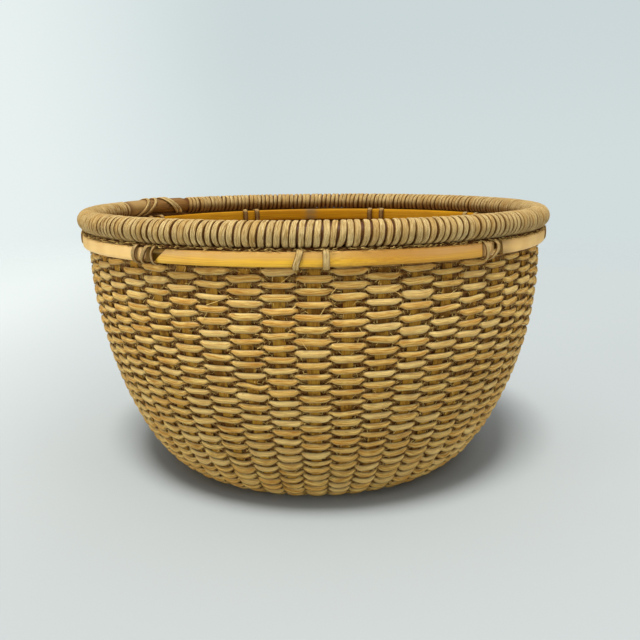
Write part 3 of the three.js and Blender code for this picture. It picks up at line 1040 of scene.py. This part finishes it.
HOOP_STEP = 0.25  # stakes between a hoop's stations
HOOP_SWAY = 0.00018
HOOP_ASKEW = 0.0006  # how far the hoops lie higher on the right
OUTER_HOOP_GAP = 0.0003
INNER_HOOP_JOINT = -2.5
INNER_HOOP_NODES = (6.1, 16.4, 26.15, 36.3, 45.8)  # places in stakes from the front
NODE_HALF_WIDTH = 0.24

# Where the outer hoop's two strips end, and a scrap in the joint between them, in degrees from the
# front.
FRONT_STRIP = (-31.4, 35.0)
SCRAP = (35.5, 38.8)
REAR_STRIP = (41.7, 325.1)

TIE_GAP = 0.00005
LOOP_CORNER = 0.0018
LOOP_CORNER_STEPS = 5
LOOP_STEP = 0.0012


def hoop_stations(start, end, middle_radius, thickness, seed, rise=0.0):
    """A bamboo hoop from one place round the basket to another."""
    height = HOOP_HIGH.z - HOOP_LOW.z + rise
    centre = (HOOP_HIGH.z + HOOP_LOW.z + rise) / 2
    count = max(2, round((end - start) / HOOP_STEP))
    stations = []
    for index in range(count + 1):
        place = start + (end - start) * index / count
        radial = way_out(place)
        sway = ripple(place * 0.35, seed, 0) * HOOP_SWAY + HOOP_ASKEW * radial.x
        swell = 1 - 0.008 * ripple(place * 0.5, seed, 5)
        stations.append(
            Station(radial * middle_radius + UP * (centre + sway), UP, radial, height * swell,
                    thickness * 0.985, middle_radius * STAKE_ANGLE * place, (seed * 0.31) % 1)
        )
    return stations


def at_degrees(*angles):
    """The places in stakes at angles from the front."""
    return [math.radians(angle) / STAKE_ANGLE for angle in angles]


def fray(stations, lengths, skew, dark):
    """Cuts a hoop's end on a slant, thinner and with painted shade over its first stations."""
    for index, station in enumerate(stations[:lengths]):
        share = 1 - index / lengths
        station.skew = (stations[lengths].middle - stations[0].middle).normalized() * skew * share
        station.thickness *= 1 - 0.3 * share
        station.shade_out = station.shade_in = dark * smooth(share)


def build_outer_hoop(hoops):
    """The outer hoop's strips, with the scrap in their joint. The front strip is browner to the
    right of its middle."""
    skin = material("Bamboo Skin", bamboo_material, hoops)
    flat = TOP_ROW_RADIUS + OUTER_HOOP_GAP
    thickness = HOOP_HIGH.x - flat
    middle = (HOOP_HIGH.x + flat) / 2
    front = hoop_stations(*at_degrees(*FRONT_STRIP), middle, thickness, 1)
    for station in front:
        station.tone = 0.3 * smooth(station.along / 0.05)
    fray(front, 6, 0.0042, 0.2)
    scrap = hoop_stations(*at_degrees(*SCRAP), middle - 0.0004, thickness - 0.0008, 4)
    for station in scrap:
        station.tone = 1.0
    strips = Strips()
    strips.sweep(HOOP_SECTION, front)
    strips.sweep(HOOP_SECTION, scrap)
    strips.finish("hoop_outer_front", skin, "hoop_bamboo", ["outer_hoop_front"])
    rear = hoop_stations(*at_degrees(*REAR_STRIP), middle, thickness, 2)
    fray(rear, 3, -0.0008, 0.45)
    rear.reverse()
    fray(rear, 2, 0.0, 0.3)
    sweep_piece("hoop_outer_rear", HOOP_SECTION, rear, skin, "hoop_bamboo", ["outer_hoop_rear"])


def build_inner_hoop(hoops):
    """The inner hoop, whose skin faces inwards, with dark rings where leaves grew."""
    skin = material("Inner Bamboo", inner_bamboo_material, hoops)
    thickness = hoops.inner_thickness
    middle = INNER_HOOP_FLAT - thickness / 2
    end = INNER_HOOP_JOINT + STAKES - 0.02
    stations = hoop_stations(INNER_HOOP_JOINT, end, middle, thickness, 3, INNER_HOOP_RISE)
    for station in stations:
        station.out = -station.out
        station.across = -station.across
        place = station.along / (middle * STAKE_ANGLE)
        away = min(abs(place - node) for node in INNER_HOOP_NODES)
        ring = math.exp(-((away / NODE_HALF_WIDTH) ** 2))
        station.shade_out = station.shade_in = min(1, 1.1 * ring)
        station.width *= 1 + 0.012 * ring
    sweep_piece("hoop_inner", HOOP_SECTION, stations, skin, "hoop_bamboo", ["inner_hoop"])


def rounded_loop(inner, outer, bottom, top):
    """Points of a rounded rectangle in radius and height, with the ways out of it."""
    corner = LOOP_CORNER
    centres = (
        (outer - corner, top - corner, 90), (outer - corner, bottom + corner, 0),
        (inner + corner, bottom + corner, -90), (inner + corner, top - corner, -180),
    )
    points = []
    for radius, height, start in centres:
        for step in range(LOOP_CORNER_STEPS + 1):
            angle = math.radians(start - 90 * step / LOOP_CORNER_STEPS)
            way = Vector((math.cos(angle), math.sin(angle)))
            points.append((Vector((radius, height)) + way * corner, way))
    loop = points[:1]
    for (before, way), (after, next_way) in zip(points, points[1:]):
        runs = max(1, int((after - before).length / LOOP_STEP))
        for run in range(1, runs):
            loop.append((before.lerp(after, run / runs), way))
        loop.append((after, next_way))
    return loop


def build_tie(hoops, number, place, strands, wide=1.0, bow=0.0, inward=0.0, dark=0.0,
              hidden=0.0):
    """A tie of flat cane round both hoops. Each strand has its place beside the tie's middle, how
    far its top, its foot and its middle lean round the basket, and its share of the width. Bow is
    how far it stands off the hoops, and inward how far its inside lies round the basket. Dark is
    painted shade on it, lifted near the top of its inside as a painted highlight on the knob, and
    hidden is the share of that painted shade taken off its outside."""
    skin = material("Aged Cane", aged_material, bpy.context.scene.basket_rim)
    thick = hoops.tie_thickness
    outer = HOOP_HIGH.x + thick / 2 + TIE_GAP
    inner = INNER_HOOP_FLAT - hoops.inner_thickness - thick / 2 - TIE_GAP
    bottom = HOOP_LOW.z - thick / 2 - 0.0004
    top = min(HOOP_HIGH.z + thick / 2, RIM_BOTTOM - thick / 2)
    middle_height = (top + bottom) / 2
    loop = rounded_loop(inner, outer, bottom, top)
    tone = random.Random(100 + number).random()
    stations = []
    run = 0.0
    for beside, top_lean, foot_lean, curl, slim in strands:
        for point, way in loop:
            outside = smooth((point.x - inner) / (outer - inner))
            share = (point.y - bottom) / (top - bottom)
            belly = max(0, 1 - ((point.y - middle_height) / (top - middle_height)) ** 2)
            lean = foot_lean + (top_lean - foot_lean) * smooth(share) + curl * belly
            lean = lean * outside + inward * (1 - outside)
            where = place + (beside + lean) / (HOOP_HIGH.x * STAKE_ANGLE)
            radial = way_out(where)
            reach = point.x + bow * belly * (1 if outside > 0.5 else -1)
            height = point.y + INNER_HOOP_RISE * smooth(share) * (1 - outside)
            middle = radial * reach + UP * height
            # Painted shade, lifted near the top of the inside as a painted highlight on the knob
            # over the inner hoop, and taken off the outside by the hidden share.
            shade = dark * (1 - 0.6 * ramp(share, 0.8, 0.95) * (1 - outside))
            shade *= 1 - hidden * ramp(outside, 0.5, 1)
            if stations:
                run += (middle - stations[-1].middle).length
            stations.append(
                Station(middle, way_round(where), radial * way.x + UP * way.y,
                        hoops.tie_width * wide * slim, thick * wide, run, tone, shade, shade)
            )
    sweep_piece(
        f"tie_{number}", CORD_SECTION, stations, skin, "binding_cane", [f"hoop_tie_{number}"]
    )


def plain_strands(half):
    """Two upright strands, each as far beside a tie's middle."""
    return (-half, 0, 0, 0, 1), (half, 0, 0, 0, 1)


def build_ties(hoops):
    half = hoops.wide_tie / 2
    build_tie(
        hoops, 1, -0.04, ((-half, 0.0006, -0.0015, 0, 1), (half, 0, 0, 0, 1)), 0.95, 0.0002
    )
    # The dark shares below are painted shade: deep on the inside of the back ties, lighter on the
    # front ones.
    for number, place, narrower, inward in (
        (2, 17, 0, 0), (3, 23, 0.0008, -0.006), (4, -23, 0.0008, 0.006), (5, -17, 0, 0),
    ):
        strands = plain_strands(half - narrower)
        build_tie(hoops, number, place, strands, 1.15, 0.0007, inward, 0.8, 0.7)
    half = hoops.close_tie / 2
    build_tie(
        hoops, 6, 5.38,
        ((-half, -0.0008, 0.0004, 0.0004, 0.8), (half, 0, -0.0034, 0.0022, 0.8)),
        0.95, 0.0009, 0, 0.15,
    )
    for number, place in ((7, 11.5), (8, -11.5)):
        build_tie(hoops, number, place, plain_strands(half), 1.0, 0.0005)
    build_tie(
        hoops, 9, -5.3,
        ((-half, 0.0020, 0.0018, -0.0013, 0.8), (half, 0.0025, -0.0004, -0.0006, 0.8),
         (half + 0.0056, 0.0023, 0.0020, -0.0012, 0.45)),
        1.0, 0.0009, 0, 0.4,
    )


# Rim

# Places in stakes from the front: where the bare stretch of the rod starts and ends, where the
# rod's two ends meet in it, and where its bark is worn pale from.
BARE_FROM = -19.2
BARE_TO = -15.45
ROD_JOINT = -18.0
PALE_FROM = -16.9
BINDING_GAP = 0.15  # how far the binding stays off the bare stretch

TURN_STEPS = 22
PACKING_STRANDS = 4
PACKING_STEPS = STAKES * 6
ROD_STEPS = STAKES * 4
ROD_LIFT = 0.0008  # how much higher the rod's middle lies where it is bare
ROD_GAP = 0.0003
ROD_TOP_GAP = 0.0002


def rim_shape():
    """The middle of the bound rim and half its width and height."""
    half_height = (RIM_TOP - RIM_BOTTOM) / 2
    half_width = half_height * 1.06
    return RIM_RADIUS - half_width, (RIM_TOP + RIM_BOTTOM) / 2, half_width, half_height


def build_binding(rim):
    skin = material("Aged Cane", aged_material, rim)
    centre_radius, centre_height, half_width, half_height = rim_shape()
    start, end = BARE_TO + BINDING_GAP, BARE_FROM - BINDING_GAP + STAKES
    turns = rim.binding_turns
    pitch = (end - start) * STAKE_ANGLE * RIM_RADIUS / turns
    draw = random.Random(5)
    count = turns + 3
    shift = [draw.gauss(0, 0.00032) for _ in range(count * 4)]
    width = [draw.gauss(0.9, 0.08) for _ in range(count)]
    lift = [draw.uniform(0, 0.0002) for _ in range(count * 2)]
    tone = [draw.random() for _ in range(count)]
    thick = rim.binding_thickness

    def station(turn):
        angle = 2 * math.pi * turn - math.pi / 2
        place = start + (end - start) * turn / turns
        place += between(shift, turn * 4) / (RIM_RADIUS * STAKE_ANGLE)
        radial = way_out(place)
        sunk = between(lift, turn * 2) + thick / 2
        way = Vector((math.cos(angle) / half_width, math.sin(angle) / half_height)).normalized()
        radius = centre_radius + half_width * math.cos(angle) - way.x * sunk
        height = centre_height + half_height * math.sin(angle) - way.y * sunk
        # Painted shade: on the inner, lower side of each turn, at the back of the rim and at its
        # sides.
        coil_shade = 0.9 * smooth(-0.5 - way.x - 0.8 * way.y)
        coil_shade = max(coil_shade, 0.15 * smooth(radial.y * 2), 0.2 * smooth(abs(radial.x) * 2 - 0.8))
        return Station(
            radial * radius + UP * height, way_round(place), radial * way.x + UP * way.y,
            pitch * min(1.02, between(width, turn)), thick, half_width * angle,
            tone[int(turn)], coil_shade, coil_shade,
        )

    for length in range(BINDING_LENGTHS):
        first = round(turns * length / BINDING_LENGTHS)
        last = round(turns * (length + 1) / BINDING_LENGTHS) - 0.02
        steps = round((last - first) * TURN_STEPS)
        stations = [station(first + (last - first) * step / steps) for step in range(steps + 1)]
        sweep_piece(f"binding_{length + 1}", CORD_SECTION, stations, skin, "binding_cane",
                    [f"rim_binding_{length + 1}"])


def from_front(place):
    """A place counted both ways from the front, the left side below 0."""
    return place if place < STAKES / 2 else place - STAKES


def bare_share(place):
    """1 where the rod of the rim is bare and 0 where it is bound."""
    place = from_front(place)
    return smooth(0.5 + min(place - BARE_FROM, BARE_TO - place) / 0.3)


def build_rod(rim):
    """The rim's rod: full and bare at the left back, thinner under its binding."""
    skin = material("Rod Bark", bark_material, rim)
    centre_radius, centre_height, half_width, half_height = rim_shape()
    stations = []
    for step in range(ROD_STEPS + 1):
        place = ROD_JOINT + 0.004 + (STAKES - 0.008) * step / ROD_STEPS
        radial = way_out(place)
        bare = bare_share(place)
        slim = rim.binding_thickness * 0.75 * (1 - bare)
        lift = ROD_LIFT * bare
        wave = ripple(place * 0.9, 3, 0) * 0.0002
        # Painted shade on the rod where it is bound, seen in the gaps between turns.
        stations.append(
            Station(radial * (centre_radius + wave) + UP * (centre_height + lift), UP, radial,
                    2 * (half_height - slim - lift - ROD_TOP_GAP),
                    2 * (half_width - slim - ROD_GAP), centre_radius * STAKE_ANGLE * place,
                    0.85 * bare * ramp(from_front(place), PALE_FROM, PALE_FROM + 0.3),
                    0.9 - 0.9 * bare, 0.9 - 0.9 * bare)
        )
    sweep_piece("rod", ROD_SECTION, stations, skin, "rod_bark", ["rim_rod"])


def build_packing(rim):
    """Strands of cane that fill the joint between the hoops and the rim."""
    skin = material("Aged Cane", aged_material, rim)
    gap = RIM_BOTTOM - HOOP_HIGH.z
    inner = INNER_HOOP_FLAT + 0.0012
    outer = HOOP_HIGH.x - 0.0034
    strips = Strips()
    for strand in range(PACKING_STRANDS):
        share = strand / (PACKING_STRANDS - 1)
        radius = inner + (outer - inner) * share
        crown = 0.0012 * math.sin(math.pi * share)
        stations = []
        for index in range(PACKING_STEPS + 1):
            place = STAKES * (index % PACKING_STEPS) / PACKING_STEPS
            radial = way_out(place)
            ring = radial * 9
            sway = ripple(ring.x, ring.y, strand * 7.0)
            swell = ripple(ring.x * 2, ring.y * 2, strand * 7.0 + 3)
            high = gap * 1.1 + crown + 0.0016 * bare_share(place)
            middle = radial * (radius + sway * 0.0003)
            middle += UP * (HOOP_HIGH.z + high * (0.48 + 0.08 * swell))
            # Painted shade: the packing lies in the shaded gap under the rim.
            stations.append(
                Station(middle, radial, UP, 0.0042 + 0.0004 * swell, high * 1.1,
                        radius * STAKE_ANGLE * STAKES * index / PACKING_STEPS, share, 0.95, 0.95)
            )
        strips.sweep(CORD_SECTION, stations)
    strips.finish("rim_packing", skin, "binding_cane")


def build_rim_fibres(weave):
    """Loose fibres in front of the packing."""
    gap = RIM_BOTTOM - HOOP_HIGH.z
    draw = random.Random(17)
    hairs = new_fibres()
    for _ in range(STAKES * 50):
        place = draw.uniform(0, STAKES)
        middle = way_out(place) * draw.uniform(HOOP_HIGH.x - 0.0022, HOOP_HIGH.x + 0.0004)
        middle += UP * (HOOP_HIGH.z + gap * draw.uniform(0.1, 1.3))
        ahead = way_round(place) + UP * draw.uniform(-0.5, 0.5)
        ahead += way_out(place) * draw.uniform(-0.4, 0.3)
        add_random_hair(hairs, draw, middle, ahead, 0.001, 0.00007)
    skin = material("Loose Fibre", fibre_material, weave)
    add_piece("rim_fibres", to_mesh(hairs, "rim_fibres"), skin)


def build_lashing(rim, name, top, foot, apart):
    """Two slanted turns over the bare stretch of the rod, close together at the top."""
    skin = material("Aged Cane", aged_material, rim)
    centre_radius, centre_height, half_width, half_height = rim_shape()
    thick = rim.lashing_thickness
    wide = half_width - ROD_GAP + thick / 2
    high = half_height - ROD_LIFT - ROD_TOP_GAP + thick / 2
    steps = 2 * TURN_STEPS
    stations = []
    for step in range(steps + 1):
        turn = 2 * step / steps
        angle = 2 * math.pi * turn - math.pi / 2
        rise = 0.5 + 0.5 * math.sin(angle)
        place = foot + (top - foot) * rise + (turn - 1) * apart * math.copysign(1, foot - top)
        radial = way_out(place)
        way = Vector((math.cos(angle) / wide, math.sin(angle) / high)).normalized()
        middle = radial * (centre_radius + wide * math.cos(angle))
        middle += UP * (centre_height + ROD_LIFT + high * math.sin(angle))
        stations.append(
            Station(middle, way_round(place), radial * way.x + UP * way.y, rim.lashing_width,
                    thick, wide * angle, 0.3)
        )
    sweep_piece(f"lashing_{name}", CORD_SECTION, stations, skin, "binding_cane",
                [f"rim_lashing_{name}"])


# Operators


class BASKET_OT_stakes(bpy.types.Operator):
    """Lay the crossed splints that rise as stakes"""

    bl_idname = "basket.stakes"
    bl_label = "Stakes"
    bl_options = {"REGISTER", "UNDO"}

    def execute(self, context):
        build_stakes(context.scene.basket_weave)
        return {"FINISHED"}


class BASKET_OT_weavers(bpy.types.Operator):
    """Weave the two canes round the stakes"""

    bl_idname = "basket.weavers"
    bl_label = "Weavers"
    bl_options = {"REGISTER", "UNDO"}

    def execute(self, context):
        build_weavers(context.scene.basket_weave)
        build_top_rows(context.scene.basket_weave)
        return {"FINISHED"}


class BASKET_OT_fibres(bpy.types.Operator):
    """Add the loose fibres in the hollows of the weave"""

    bl_idname = "basket.fibres"
    bl_label = "Fibres"
    bl_options = {"REGISTER", "UNDO"}

    def execute(self, context):
        build_fibres(context.scene.basket_weave)
        return {"FINISHED"}


class BASKET_OT_hoops(bpy.types.Operator):
    """Bend the bamboo hoops round the top of the wall"""

    bl_idname = "basket.hoops"
    bl_label = "Hoops"
    bl_options = {"REGISTER", "UNDO"}

    def execute(self, context):
        build_outer_hoop(context.scene.basket_hoops)
        build_inner_hoop(context.scene.basket_hoops)
        return {"FINISHED"}


class BASKET_OT_ties(bpy.types.Operator):
    """Tie both hoops to the wall"""

    bl_idname = "basket.ties"
    bl_label = "Ties"
    bl_options = {"REGISTER", "UNDO"}

    def execute(self, context):
        build_ties(context.scene.basket_hoops)
        return {"FINISHED"}


class BASKET_OT_rim(bpy.types.Operator):
    """Lay the rim's rod and wind its binding"""

    bl_idname = "basket.rim"
    bl_label = "Rim"
    bl_options = {"REGISTER", "UNDO"}

    def execute(self, context):
        build_rod(context.scene.basket_rim)
        build_packing(context.scene.basket_rim)
        build_rim_fibres(context.scene.basket_weave)
        build_binding(context.scene.basket_rim)
        return {"FINISHED"}


class BASKET_OT_lashings(bpy.types.Operator):
    """Lash the bare stretch of the rod"""

    bl_idname = "basket.lashings"
    bl_label = "Lashings"
    bl_options = {"REGISTER", "UNDO"}

    def execute(self, context):
        rim = context.scene.basket_rim
        build_lashing(rim, "left", -17.2, -16.35, 0.5)
        build_lashing(rim, "right", -17.95, -18.7, 0.22)
        return {"FINISHED"}


class BASKET_OT_stage(bpy.types.Operator):
    """Set the floor, the lights and the camera"""

    bl_idname = "basket.stage"
    bl_label = "Stage"
    bl_options = {"REGISTER", "UNDO"}

    def execute(self, context):
        build_stage(context.scene, context.scene.basket_stage)
        return {"FINISHED"}


LAMPS = (  # name, strength, azimuth from the front, elevation and spread in degrees, sRGB levels
    ("key", 2.95, -12, 71, 16, (255, 253, 248)),
    ("fill", 0.15, 20, 45, 40, (252, 253, 255)),
    ("left", 1.45, -66, 5, 30, (255, 251, 242)),
    ("right", 1.05, 66, 5, 30, (255, 251, 242)),
)


def add_lamp(scene, name, strength, azimuth, elevation, spread, levels):
    light = bpy.data.lights.new(name, "SUN")
    light.energy = strength
    light.angle = math.radians(spread)
    light.color = colour(*levels)
    lamp = bpy.data.objects.new(name, light)
    turned, raised = math.radians(azimuth), math.radians(elevation)
    level = Vector((math.sin(turned), -math.cos(turned), 0)) * math.cos(raised)
    back = level + UP * math.sin(raised)
    lamp.rotation_euler = back.to_track_quat("Z", "Y").to_euler()
    lamp.location = back
    scene.collection.objects.link(lamp)


def build_floor(scene, stage):
    """A pale floor that fades into the backdrop behind the basket."""
    shape = bmesh.new()
    bmesh.ops.create_circle(shape, cap_ends=True, segments=96, radius=4)
    mesh = to_mesh(shape, "floor")
    floor = bpy.data.objects.new("floor", mesh)
    scene.collection.objects.link(floor)
    t = Skin("Floor")
    place = t.add("ShaderNodeTexCoord").outputs["Object"]
    # Painted light: the floor is paler towards its left.
    side = t.span(t.add("ShaderNodeSeparateXYZ", {0: place}).outputs["X"], -0.5, -0.1)
    base = t.mix(side, stage.floor_left_lit, stage.floor)
    cloud = t.noise(place, 1.3, 2.0)
    away = t.add("ShaderNodeVectorMath", {0: place}, operation="LENGTH").outputs["Value"]
    t.tree.links.new(t.span(away, 0.45, 1.7, 1.0, 0.0), t.surface.inputs["Alpha"])
    mesh.materials.append(t.finish(base, t.line(cloud, 0.1, 0.8), cloud, 0.0001, 0.2))


def build_world(scene, stage):
    """Soft light from above, and a pale backdrop that only the camera sees."""
    world = bpy.data.worlds.new("Studio")
    scene.world = world
    world.use_nodes = True
    world.node_tree.nodes.clear()
    t = Tree(world.node_tree)
    way = t.add("ShaderNodeTexCoord").outputs["Generated"]
    parts = t.add("ShaderNodeSeparateXYZ", {0: way}).outputs
    # Painted light and shade on the backdrop: darker towards its top and brighter to the left.
    right = t.mix(t.span(parts["Z"], -0.02, 0.2), stage.backdrop, stage.backdrop_top_shaded)
    wall = t.mix(t.span(parts["X"], -0.42, -0.06), stage.backdrop_left_lit, right)
    above = t.span(parts["Z"], 0.4, 1.0, 0.02, 1.0)
    seen = t.add("ShaderNodeBackground", {"Color": wall, "Strength": 1.0})
    soft = t.add("ShaderNodeBackground", {"Color": (0.98, 0.99, 1, 1), "Strength": above})
    camera_ray = t.add("ShaderNodeLightPath").outputs["Is Camera Ray"]
    either = t.add(
        "ShaderNodeMixShader", {0: camera_ray, 1: soft.outputs[0], 2: seen.outputs[0]}
    )
    t.add("ShaderNodeOutputWorld", {0: either.outputs[0]})


def add_camera(scene, stage):
    data = bpy.data.cameras.new("camera")
    data.sensor_width = SENSOR_WIDTH
    data.lens = SENSOR_WIDTH * FOCAL_LENGTH / FRAME_WIDTH
    data.shift_x = FRAME_SHIFT / FRAME_WIDTH
    data.clip_start = 0.01
    camera = bpy.data.objects.new("camera", data)
    camera.location = (0, -stage.camera_distance, stage.camera_height)
    level = Matrix.Rotation(math.pi / 2 - stage.camera_pitch, 3, "X")
    camera.rotation_euler = (level @ Matrix.Rotation(stage.camera_roll, 3, "Z")).to_euler()
    scene.collection.objects.link(camera)
    scene.camera = camera


def build_stage(scene, stage):
    scene.view_settings.view_transform = "Standard"
    build_floor(scene, stage)
    build_world(scene, stage)
    for lamp in LAMPS:
        add_lamp(scene, *lamp)
    add_camera(scene, stage)


PIECE_OPERATORS = (
    BASKET_OT_stakes, BASKET_OT_weavers, BASKET_OT_fibres, BASKET_OT_hoops, BASKET_OT_ties,
    BASKET_OT_rim, BASKET_OT_lashings, BASKET_OT_stage,
)


class BASKET_PT_panel(bpy.types.Panel):
    """The basket's pieces, sizes and colours"""

    bl_label = "Round Woven Basket"
    bl_idname = "BASKET_PT_panel"
    bl_space_type = "VIEW_3D"
    bl_region_type = "UI"
    bl_category = "Basket"

    def draw(self, context):
        for operator in PIECE_OPERATORS:
            self.layout.operator(operator.bl_idname)
        for group in ("basket_weave", "basket_hoops", "basket_rim", "basket_stage"):
            settings = getattr(context.scene, group)
            column = self.layout.column(align=True)
            for name in type(settings).__annotations__:
                column.prop(settings, name)


SETTINGS = {
    "basket_weave": BasketWeaveSettings,
    "basket_hoops": BasketHoopSettings,
    "basket_rim": BasketRimSettings,
    "basket_stage": BasketStageSettings,
}
CLASSES = (*SETTINGS.values(), *PIECE_OPERATORS, BASKET_PT_panel)


def register():
    for known in CLASSES:
        bpy.utils.register_class(known)
    for name, settings in SETTINGS.items():
        setattr(bpy.types.Scene, name, PointerProperty(type=settings))


def unregister():
    for name in SETTINGS:
        delattr(bpy.types.Scene, name)
    for known in reversed(CLASSES):
        bpy.utils.unregister_class(known)


def main():
    register()
    bpy.ops.basket.stakes()
    bpy.ops.basket.weavers()
    bpy.ops.basket.fibres()
    bpy.ops.basket.hoops()
    bpy.ops.basket.ties()
    bpy.ops.basket.rim()
    bpy.ops.basket.lashings()
    bpy.ops.basket.stage()


if __name__ == "__main__":
    main()
